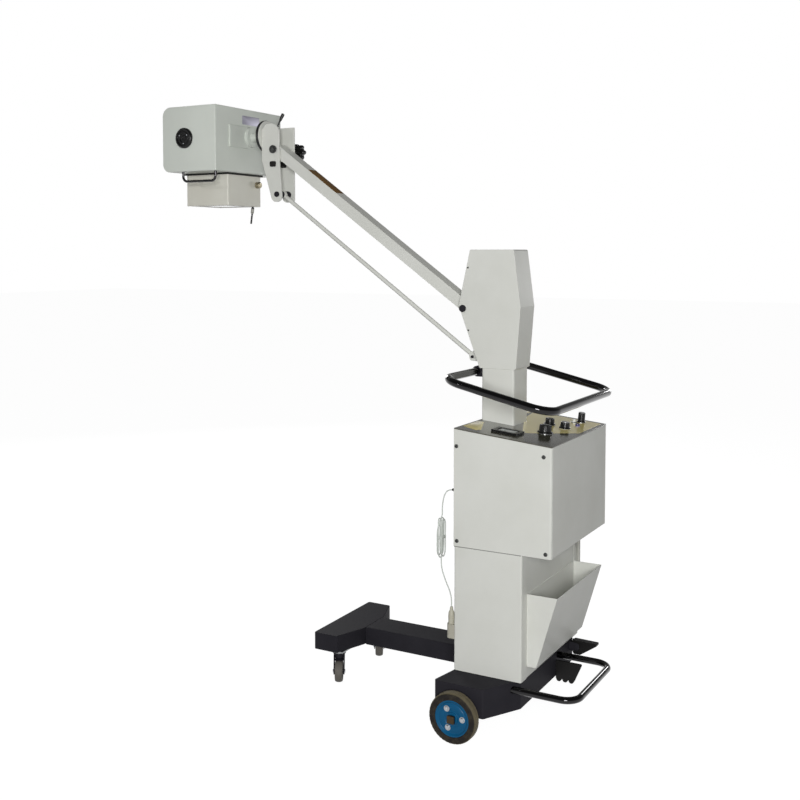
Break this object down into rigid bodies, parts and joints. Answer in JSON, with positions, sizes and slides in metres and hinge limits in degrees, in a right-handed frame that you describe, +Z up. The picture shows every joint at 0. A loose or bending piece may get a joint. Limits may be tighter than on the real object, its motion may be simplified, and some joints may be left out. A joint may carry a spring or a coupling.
{
  "type": "mobile x-ray machine",
  "caption": "Mobile x-ray machine: wheeled base, column with control box, mast and a counterbalanced parallelogram arm that carries the x-ray head.",
  "frame": {"origin": "on the floor, in the middle of the machine's length and width", "axes": "+X rearwards to the operator's side, +Y across to the side with the star knob, +Z up"},
  "size_m": [1.6664, 0.8306, 2.0516],
  "materials": {
    "enamel": "satin off-white enamel",
    "dark_enamel": "satin near-black enamel",
    "blue_enamel": "gloss blue enamel",
    "chrome": "polished chrome",
    "zinc": "zinc-plated steel",
    "rusty_steel": "browned steel",
    "tyre_rubber": "moulded rubber",
    "black_rubber": "moulded rubber",
    "black_plastic": "moulded",
    "grey_plastic": "moulded",
    "white_plastic": "moulded",
    "panel_film": "cream-yellow gloss film on sheet steel",
    "beige_plastic": "moulded",
    "window": "clear",
    "aluminium": "cast and turned",
    "iron_core": "varnished laminations",
    "cord": "soft white sheath"
  },
  "bodies": {
    "root": {"rear_crossmember": "dark_enamel", "axle_nuts": "rusty_steel", "spine_beam": "dark_enamel", "front_crossbeam": "dark_enamel", "caster_mounts": "zinc", "foot_bar": "chrome", "cable_cleat": "black_rubber", "column_shell": "enamel", "column_rear_panel": "enamel", "cassette_bin": "enamel", "cable_conduit": "grey_plastic", "control_box": "enamel", "box_side_panels": "enamel", "control_panel": "panel_film", "panel_meter": "black_plastic", "mast_post": "enamel", "spring_housing": "enamel", "arm_pivots": "dark_enamel", "balance_spring": "zinc", "push_handle": "chrome", "handle_clamp": "dark_enamel", "autotransformer": "iron_core", "switch_holder": "beige_plastic", "hand_switch": "beige_plastic", "cord_grommet": "black_rubber", "cord_drop": "cord", "cord_hank": "cord", "cord_tail": "cord"},
    "wheel_near": {"tyre_near": "tyre_rubber", "wheel_disc_near": "blue_enamel"},
    "wheel_far": {"tyre_far": "tyre_rubber", "wheel_disc_far": "blue_enamel"},
    "caster_near": {"caster_fork_near": "dark_enamel"},
    "caster_far": {"caster_fork_far": "dark_enamel"},
    "caster_roller_near": {"caster_wheel_near": "grey_plastic"},
    "caster_roller_far": {"caster_wheel_far": "grey_plastic"},
    "pedal": {"brake_pedal": "dark_enamel"},
    "arm": {"arm_beam": "enamel"},
    "link": {"link_rod": "enamel"},
    "bracket": {"head_bracket": "enamel", "roll_bearing": "dark_enamel", "bracket_pins": "dark_enamel"},
    "star": {"star_knob": "black_plastic"},
    "lever": {"lock_lever": "black_plastic"},
    "head": {"head_casing": "enamel", "trunnion": "enamel", "head_cap": "black_plastic", "head_handle": "dark_enamel", "tube_and_transformer": "aluminium", "head_gasket": "black_rubber", "collimator_housing": "enamel", "beam_window": "window"},
    "dial": {"field_knob": "zinc"},
    "shutter": {"shutter_lever": "dark_enamel"},
    "knob_line": {"line_voltage_knob": "black_plastic"},
    "knob_voltage": {"tube_voltage_knob": "black_plastic"},
    "knob_current": {"tube_current_knob": "black_plastic"},
    "knob_timer": {"timer_knob": "black_plastic"},
    "power": {"power_button": "white_plastic"},
    "trigger": {"exposure_button": "white_plastic"}
  },
  "joints": [
    {"name": "wheel_near_spin", "type": "hinge", "parent": "root", "child": "wheel_near", "pos_m": [0.4772, -0.39, 0.08], "axis": [0, 1, 0], "continuous": true},
    {"name": "wheel_far_spin", "type": "hinge", "parent": "root", "child": "wheel_far", "pos_m": [0.4772, 0.39, 0.08], "axis": [0, 1, 0], "continuous": true},
    {"name": "caster_near_swivel", "type": "hinge", "parent": "root", "child": "caster_near", "pos_m": [-0.0978, -0.141, 0.1], "axis": [0, 0, 1], "continuous": true},
    {"name": "caster_near_spin", "type": "hinge", "parent": "caster_near", "child": "caster_roller_near", "pos_m": [-0.0873, -0.16033, 0.0375], "axis": [0.8788, 0.4772, 0], "continuous": true},
    {"name": "caster_far_swivel", "type": "hinge", "parent": "root", "child": "caster_far", "pos_m": [-0.0978, 0.141, 0.1], "axis": [0, 0, 1], "continuous": true},
    {"name": "caster_far_spin", "type": "hinge", "parent": "caster_far", "child": "caster_roller_far", "pos_m": [-0.0873, 0.12167, 0.0375], "axis": [0.8788, 0.4772, 0], "continuous": true},
    {"name": "pedal_press", "type": "hinge", "parent": "root", "child": "pedal", "pos_m": [0.6572, 0.222, 0.14], "axis": [0, 1, 0], "range_deg": [0, 12], "stiffness_Nm_per_rad": 2, "springref_deg": -17.19},
    {"name": "arm_lift", "type": "hinge", "parent": "root", "child": "arm", "pos_m": [0.3442, 0, 1.326], "axis": [0, 1, 0], "range_deg": [-60, 9]},
    {"name": "link_swing", "type": "hinge", "parent": "root", "child": "link", "pos_m": [0.3592, 0, 1.16], "axis": [0, 1, 0], "range_deg": [-60, 9]},
    {"name": "bracket_level", "type": "hinge", "parent": "arm", "child": "bracket", "pos_m": [-0.44415, 0, 1.89458], "axis": [0, 1, 0], "range_deg": [-9, 60]},
    {"name": "head_roll", "type": "hinge", "parent": "bracket", "child": "head", "pos_m": [-0.5128, 0, 1.94758], "axis": [1, 0, 0], "range_deg": [-90, 90]},
    {"name": "star_knob_turn", "type": "hinge", "parent": "bracket", "child": "star", "pos_m": [-0.44415, 0.12, 1.89458], "axis": [0, 1, 0], "range_deg": [-180, 180]},
    {"name": "lock_lever_turn", "type": "hinge", "parent": "bracket", "child": "lever", "pos_m": [-0.47715, 0.024, 1.96558], "axis": [0, 0, 1], "range_deg": [-60, 60]},
    {"name": "field_knob_turn", "type": "hinge", "parent": "head", "child": "dial", "pos_m": [-0.60815, 0.072, 1.77258], "axis": [1, 0, 0], "range_deg": [-150, 150]},
    {"name": "shutter_swing", "type": "hinge", "parent": "head", "child": "shutter", "pos_m": [-0.62715, 0.078, 1.70158], "axis": [1, 0, 0], "range_deg": [-20, 20]},
    {"name": "line_voltage_turn", "type": "hinge", "parent": "root", "child": "knob_line", "pos_m": [0.6462, -0.073, 0.93193], "axis": [0.1011, 0, 0.9949], "range_deg": [-150, 150]},
    {"name": "tube_voltage_turn", "type": "hinge", "parent": "root", "child": "knob_voltage", "pos_m": [0.6072, 0.067, 0.93589], "axis": [0.1011, 0, 0.9949], "range_deg": [-150, 150]},
    {"name": "tube_current_turn", "type": "hinge", "parent": "root", "child": "knob_current", "pos_m": [0.6672, 0.051, 0.92979], "axis": [0.1011, 0, 0.9949], "range_deg": [-120, 120]},
    {"name": "timer_turn", "type": "hinge", "parent": "root", "child": "knob_timer", "pos_m": [0.6692, 0.204, 0.92959], "axis": [0.1011, 0, 0.9949], "range_deg": [0, 300]},
    {"name": "power_press", "type": "slide", "parent": "root", "child": "power", "axis": [-0.1011, 0, -0.9949], "range_m": [0, 0.003], "stiffness_N_per_m": 400, "springref_m": -0.002},
    {"name": "exposure_press", "type": "slide", "parent": "root", "child": "trigger", "axis": [0, 0, 1], "range_m": [0, 0.004], "stiffness_N_per_m": 400, "springref_m": -0.002}
  ],
  "couplings": [
    {"joint": "link_swing", "follows": "arm_lift", "ratio": 1},
    {"joint": "bracket_level", "follows": "arm_lift", "ratio": -1}
  ]
}
